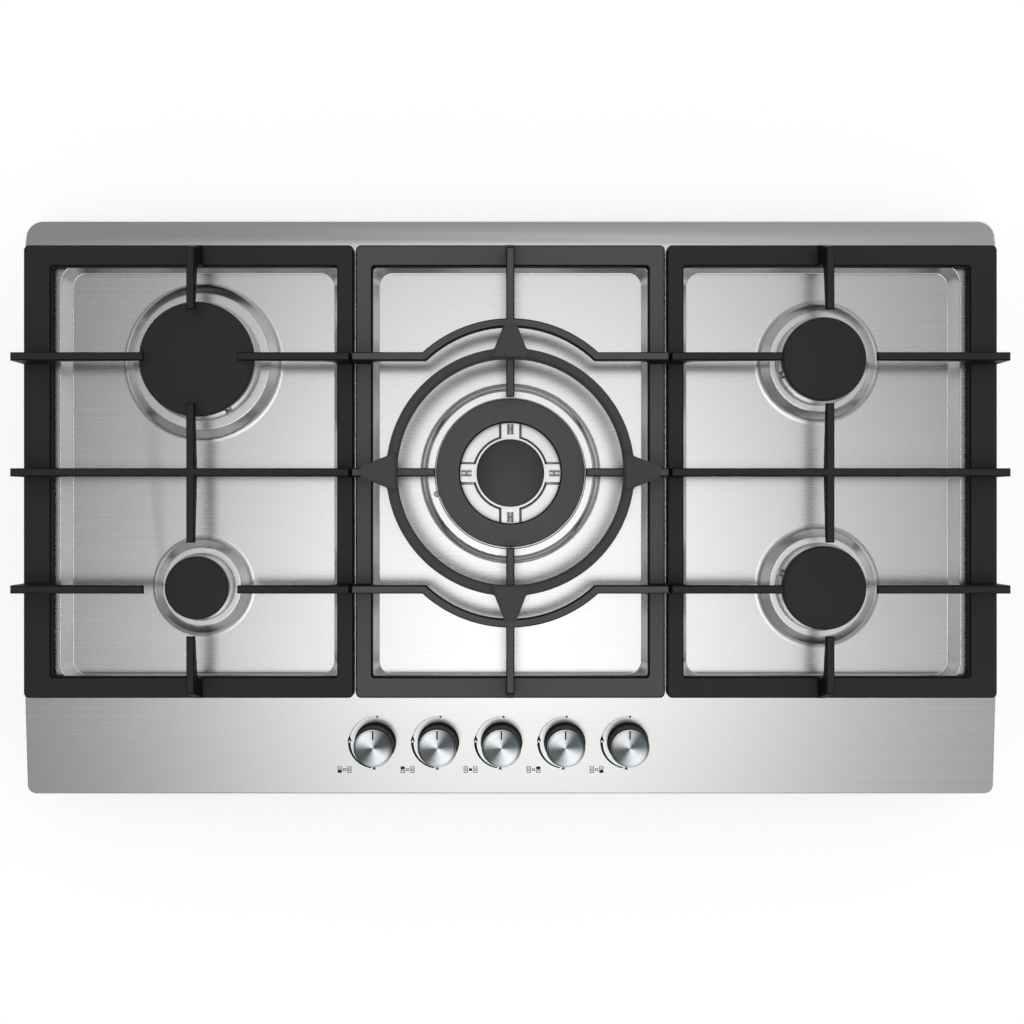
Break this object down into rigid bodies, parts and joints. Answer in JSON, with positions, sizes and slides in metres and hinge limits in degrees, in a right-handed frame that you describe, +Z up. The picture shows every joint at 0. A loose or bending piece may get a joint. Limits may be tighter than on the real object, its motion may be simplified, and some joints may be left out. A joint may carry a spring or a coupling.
{
  "type": "gas cooktop",
  "caption": "Wide built-in gas cooktop: pressed stainless steel top with burners of several sizes, cast pan supports, front knobs and a wok ring.",
  "frame": {"origin": "on the underside of the bottom box, below the middle of the top plate", "axes": "+X to the right of the person who cooks, +Y to the rear, +Z up"},
  "size_m": [0.86, 0.51, 0.12],
  "materials": {
    "stainless_steel": "brushed along the width",
    "galvanised_steel": "galvanised sheet",
    "foam_rubber": "foam strip",
    "zinc_screws": "zinc plated",
    "cast_iron_enamel": "matt black enamel",
    "black_rubber": "moulded rubber",
    "grey_cast_iron": "matt dark grey casting",
    "cast_aluminium": "machined casting",
    "brass": "machined",
    "white_ceramic": "fired",
    "black_enamel": "satin black enamel",
    "black_plastic": "moulded",
    "zinc_tube": "zinc plated tube",
    "aluminium_pipe": "drawn",
    "silicone_lead": "silicone sleeve",
    "spun_aluminium": "spun face",
    "steel_shaft": "turned"
  },
  "bodies": {
    "root": {"top_plate": "stainless_steel", "bottom_box": "galvanised_steel", "worktop_seal": "foam_rubber", "fixing_clamps": "galvanised_steel", "clamp_screws": "zinc_screws", "burner_cups": "cast_aluminium", "injectors": "brass", "spark_electrodes": "white_ceramic", "knob_bezels": "black_plastic", "gas_valves": "brass", "ignition_switches": "black_plastic", "gas_rail": "zinc_tube", "feed_pipes": "aluminium_pipe", "supply_pipe": "aluminium_pipe", "inlet_elbow": "brass", "burner_rails": "galvanised_steel", "ignition_module": "black_plastic", "ignition_leads": "silicone_lead", "mains_gland": "black_plastic"},
    "support_left": {"support_left": "cast_iron_enamel", "support_feet_left": "black_rubber"},
    "support_centre": {"support_centre": "cast_iron_enamel", "support_feet_centre": "black_rubber"},
    "support_right": {"support_right": "cast_iron_enamel", "support_feet_right": "black_rubber"},
    "wok_ring": {"wok_ring": "grey_cast_iron"},
    "spreader_front_left": {"flame_spreader_front_left": "cast_aluminium"},
    "cap_front_left": {"burner_cap_front_left": "black_enamel"},
    "spreader_rear_left": {"flame_spreader_rear_left": "cast_aluminium"},
    "cap_rear_left": {"burner_cap_rear_left": "black_enamel"},
    "spreader_centre": {"flame_spreader_centre": "cast_aluminium"},
    "outer_cap": {"wok_outer_cap": "black_enamel"},
    "inner_cap": {"wok_inner_cap": "black_enamel"},
    "spreader_rear_right": {"flame_spreader_rear_right": "cast_aluminium"},
    "cap_rear_right": {"burner_cap_rear_right": "black_enamel"},
    "spreader_front_right": {"flame_spreader_front_right": "cast_aluminium"},
    "cap_front_right": {"burner_cap_front_right": "black_enamel"},
    "plug_front_left": {"valve_plug_front_left": "brass"},
    "knob_front_left": {"knob_front_left": "black_plastic", "knob_disc_front_left": "spun_aluminium", "spindle_front_left": "steel_shaft"},
    "plug_rear_left": {"valve_plug_rear_left": "brass"},
    "knob_rear_left": {"knob_rear_left": "black_plastic", "knob_disc_rear_left": "spun_aluminium", "spindle_rear_left": "steel_shaft"},
    "plug_centre": {"valve_plug_centre": "brass"},
    "knob_centre": {"knob_centre": "black_plastic", "knob_disc_centre": "spun_aluminium", "spindle_centre": "steel_shaft"},
    "plug_rear_right": {"valve_plug_rear_right": "brass"},
    "knob_rear_right": {"knob_rear_right": "black_plastic", "knob_disc_rear_right": "spun_aluminium", "spindle_rear_right": "steel_shaft"},
    "plug_front_right": {"valve_plug_front_right": "brass"},
    "knob_front_right": {"knob_front_right": "black_plastic", "knob_disc_front_right": "spun_aluminium", "spindle_front_right": "steel_shaft"}
  },
  "joints": [
    {"name": "lift_support_left", "type": "slide", "parent": "root", "child": "support_left", "axis": [0, 0, 1], "range_m": [0, 0.06]},
    {"name": "lift_support_centre", "type": "slide", "parent": "root", "child": "support_centre", "axis": [0, 0, 1], "range_m": [0, 0.06]},
    {"name": "lift_support_right", "type": "slide", "parent": "root", "child": "support_right", "axis": [0, 0, 1], "range_m": [0, 0.06]},
    {"name": "lift_wok_ring", "type": "slide", "parent": "support_centre", "child": "wok_ring", "axis": [0, 0, 1], "range_m": [0, 0.04]},
    {"name": "lift_spreader_front_left", "type": "slide", "parent": "root", "child": "spreader_front_left", "axis": [0, 0, 1], "range_m": [0, 0.03]},
    {"name": "lift_cap_front_left", "type": "slide", "parent": "spreader_front_left", "child": "cap_front_left", "axis": [0, 0, 1], "range_m": [0, 0.03]},
    {"name": "lift_spreader_rear_left", "type": "slide", "parent": "root", "child": "spreader_rear_left", "axis": [0, 0, 1], "range_m": [0, 0.004]},
    {"name": "lift_cap_rear_left", "type": "slide", "parent": "spreader_rear_left", "child": "cap_rear_left", "axis": [0, 0, 1], "range_m": [0, 0.007]},
    {"name": "lift_spreader_centre", "type": "slide", "parent": "root", "child": "spreader_centre", "axis": [0, 0, 1], "range_m": [0, 0.004]},
    {"name": "lift_outer_cap", "type": "slide", "parent": "spreader_centre", "child": "outer_cap", "axis": [0, 0, 1], "range_m": [0, 0.007]},
    {"name": "lift_inner_cap", "type": "slide", "parent": "spreader_centre", "child": "inner_cap", "axis": [0, 0, 1], "range_m": [0, 0.03]},
    {"name": "lift_spreader_rear_right", "type": "slide", "parent": "root", "child": "spreader_rear_right", "axis": [0, 0, 1], "range_m": [0, 0.03]},
    {"name": "lift_cap_rear_right", "type": "slide", "parent": "spreader_rear_right", "child": "cap_rear_right", "axis": [0, 0, 1], "range_m": [0, 0.03]},
    {"name": "lift_spreader_front_right", "type": "slide", "parent": "root", "child": "spreader_front_right", "axis": [0, 0, 1], "range_m": [0, 0.03]},
    {"name": "lift_cap_front_right", "type": "slide", "parent": "spreader_front_right", "child": "cap_front_right", "axis": [0, 0, 1], "range_m": [0, 0.03]},
    {"name": "turn_front_left", "type": "hinge", "parent": "root", "child": "plug_front_left", "pos_m": [-0.1198, -0.2085, 0.05728], "axis": [0, -0.0704, 0.9975], "range_deg": [0, 180]},
    {"name": "press_front_left", "type": "slide", "parent": "plug_front_left", "child": "knob_front_left", "axis": [0, 0.0704, -0.9975], "range_m": [0, 0.0035], "stiffness_N_per_m": 1500, "springref_m": -0.002},
    {"name": "turn_rear_left", "type": "hinge", "parent": "root", "child": "plug_rear_left", "pos_m": [-0.0638, -0.2085, 0.05728], "axis": [0, -0.0704, 0.9975], "range_deg": [0, 180]},
    {"name": "press_rear_left", "type": "slide", "parent": "plug_rear_left", "child": "knob_rear_left", "axis": [0, 0.0704, -0.9975], "range_m": [0, 0.0035], "stiffness_N_per_m": 1500, "springref_m": -0.002},
    {"name": "turn_centre", "type": "hinge", "parent": "root", "child": "plug_centre", "pos_m": [-0.0078, -0.2085, 0.05728], "axis": [0, -0.0704, 0.9975], "range_deg": [0, 180]},
    {"name": "press_centre", "type": "slide", "parent": "plug_centre", "child": "knob_centre", "axis": [0, 0.0704, -0.9975], "range_m": [0, 0.0035], "stiffness_N_per_m": 1500, "springref_m": -0.002},
    {"name": "turn_rear_right", "type": "hinge", "parent": "root", "child": "plug_rear_right", "pos_m": [0.0482, -0.2085, 0.05728], "axis": [0, -0.0704, 0.9975], "range_deg": [0, 180]},
    {"name": "press_rear_right", "type": "slide", "parent": "plug_rear_right", "child": "knob_rear_right", "axis": [0, 0.0704, -0.9975], "range_m": [0, 0.0035], "stiffness_N_per_m": 1500, "springref_m": -0.002},
    {"name": "turn_front_right", "type": "hinge", "parent": "root", "child": "plug_front_right", "pos_m": [0.1042, -0.2085, 0.05728], "axis": [0, -0.0704, 0.9975], "range_deg": [0, 180]},
    {"name": "press_front_right", "type": "slide", "parent": "plug_front_right", "child": "knob_front_right", "axis": [0, 0.0704, -0.9975], "range_m": [0, 0.0035], "stiffness_N_per_m": 1500, "springref_m": -0.002}
  ]
}
